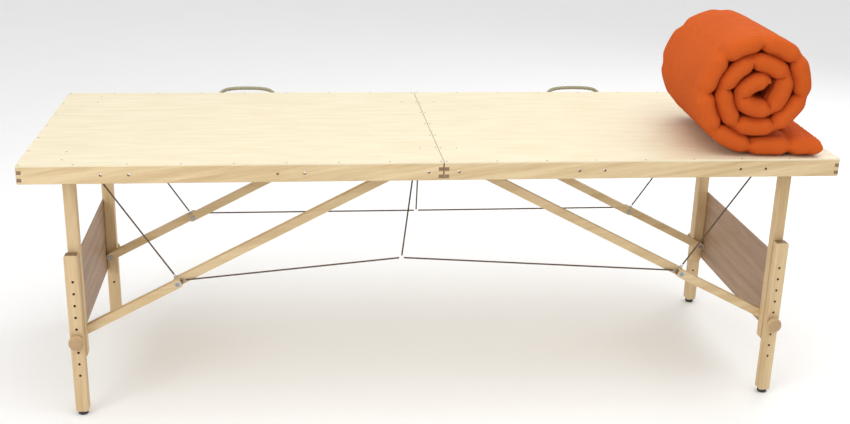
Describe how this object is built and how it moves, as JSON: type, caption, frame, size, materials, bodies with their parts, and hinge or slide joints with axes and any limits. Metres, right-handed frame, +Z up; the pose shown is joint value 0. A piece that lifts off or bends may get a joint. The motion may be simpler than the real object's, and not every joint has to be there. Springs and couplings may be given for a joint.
{
  "type": "facial treatment bed",
  "caption": "Folding wooden treatment bed with hinged trays, height-adjustable legs, folding braces, rope handles and a rolled quilted mattress.",
  "frame": {"origin": "on the floor under the middle of the bed", "axes": "+X along the bed towards the mattress end, +Y towards the side with the rope handles, +Z up"},
  "size_m": [1.95, 0.741, 0.962],
  "materials": {
    "birch_ply": "sanded and oiled birch plywood",
    "beech": "oiled solid wood",
    "panel_ply": "thin brown plywood",
    "steel": "zinc plated",
    "cable": "waxed braided cord",
    "rope": "twisted natural rope",
    "rubber": "matte",
    "mattress": "orange cotton twill, quilted"
  },
  "bodies": {
    "left_half": {"left_top": "birch_ply", "left_front_rail": "beech", "left_back_rail": "beech", "left_end_rail": "beech", "left_middle_rail": "beech", "left_pivot_blocks": "beech", "left_pivot_bolts": "steel", "left_hinge_leaves": "steel", "left_stay_cables": "cable", "left_run_cables": "cable", "left_rope_handle": "rope", "drop_cables": "cable", "hinge_pins": "steel"},
    "left_leg_frame": {"left_front_post": "beech", "left_back_post": "beech", "left_leg_panel": "panel_ply", "left_panel_screws": "steel", "left_clamp_bolts": "steel", "left_front_extension": "beech", "left_front_foot": "rubber", "left_back_extension": "beech", "left_back_foot": "rubber"},
    "left_lower_braces": {"left_lower_struts": "beech", "left_knee_nuts": "steel", "left_run_eyes": "steel"},
    "left_upper_braces": {"left_upper_struts": "beech", "left_knee_bolts": "steel", "left_stay_eyes": "steel"},
    "left_front_clamp_knob": {"left_front_knob": "beech"},
    "left_back_clamp_knob": {"left_back_knob": "beech"},
    "right_half": {"right_top": "birch_ply", "right_front_rail": "beech", "right_back_rail": "beech", "right_end_rail": "beech", "right_middle_rail": "beech", "right_pivot_blocks": "beech", "right_pivot_bolts": "steel", "right_hinge_leaves": "steel", "right_stay_cables": "cable", "right_run_cables": "cable", "right_rope_handle": "rope"},
    "right_leg_frame": {"right_front_post": "beech", "right_back_post": "beech", "right_leg_panel": "panel_ply", "right_panel_screws": "steel", "right_clamp_bolts": "steel", "right_front_extension": "beech", "right_front_foot": "rubber", "right_back_extension": "beech", "right_back_foot": "rubber"},
    "right_lower_braces": {"right_lower_struts": "beech", "right_knee_nuts": "steel", "right_run_eyes": "steel"},
    "right_upper_braces": {"right_upper_struts": "beech", "right_knee_bolts": "steel", "right_stay_eyes": "steel"},
    "right_front_clamp_knob": {"right_front_knob": "beech"},
    "right_back_clamp_knob": {"right_back_knob": "beech"},
    "mattress": {"mattress_roll": "mattress"}
  },
  "joints": [
    {"name": "table_fold", "type": "hinge", "parent": "left_half", "child": "right_half", "pos_m": [0, 0, 0.615], "axis": [0, 1, 0], "range_deg": [0, 90], "deforming": ["left_run_cables", "right_run_cables", "drop_cables"]},
    {"name": "left_leg_fold", "type": "hinge", "parent": "left_half", "child": "left_leg_frame", "pos_m": [-0.877, 0.273, 0.6355], "axis": [0, -1, 0], "range_deg": [0, 90], "deforming": ["left_stay_cables", "left_run_cables", "drop_cables"]},
    {"name": "left_lower_brace_fold", "type": "hinge", "parent": "left_leg_frame", "child": "left_lower_braces", "pos_m": [-0.877, 0.253, 0.202], "axis": [0, -1, 0], "range_deg": [0, 62.73]},
    {"name": "left_upper_brace_fold", "type": "hinge", "parent": "left_half", "child": "left_upper_braces", "pos_m": [-0.036, 0.2355, 0.6355], "axis": [0, 1, 0], "range_deg": [0, 27.27]},
    {"name": "left_front_knob_turn", "type": "hinge", "parent": "left_leg_frame", "child": "left_front_clamp_knob", "pos_m": [-0.877, -0.321, 0.202], "axis": [0, -1, 0], "continuous": true},
    {"name": "left_back_knob_turn", "type": "hinge", "parent": "left_leg_frame", "child": "left_back_clamp_knob", "pos_m": [-0.877, 0.321, 0.202], "axis": [0, 1, 0], "continuous": true},
    {"name": "right_leg_fold", "type": "hinge", "parent": "right_half", "child": "right_leg_frame", "pos_m": [0.877, 0.273, 0.6355], "axis": [0, 1, 0], "range_deg": [0, 90], "deforming": ["right_stay_cables", "right_run_cables", "drop_cables"]},
    {"name": "right_lower_brace_fold", "type": "hinge", "parent": "right_leg_frame", "child": "right_lower_braces", "pos_m": [0.877, 0.253, 0.202], "axis": [0, 1, 0], "range_deg": [0, 62.73]},
    {"name": "right_upper_brace_fold", "type": "hinge", "parent": "right_half", "child": "right_upper_braces", "pos_m": [0.036, 0.2355, 0.6355], "axis": [0, -1, 0], "range_deg": [0, 27.27]},
    {"name": "right_front_knob_turn", "type": "hinge", "parent": "right_leg_frame", "child": "right_front_clamp_knob", "pos_m": [0.877, -0.321, 0.202], "axis": [0, -1, 0], "continuous": true},
    {"name": "right_back_knob_turn", "type": "hinge", "parent": "right_leg_frame", "child": "right_back_clamp_knob", "pos_m": [0.877, 0.321, 0.202], "axis": [0, 1, 0], "continuous": true},
    {"name": "mattress_lift", "type": "slide", "parent": "right_half", "child": "mattress", "axis": [0, 0, 1], "range_m": [0, 0.3]}
  ],
  "couplings": [
    {"joint": "left_lower_brace_fold", "follows": "left_leg_fold", "ratio": 0.69701},
    {"joint": "left_upper_brace_fold", "follows": "left_leg_fold", "ratio": 0.30299},
    {"joint": "right_lower_brace_fold", "follows": "right_leg_fold", "ratio": 0.69701},
    {"joint": "right_upper_brace_fold", "follows": "right_leg_fold", "ratio": 0.30299}
  ]
}
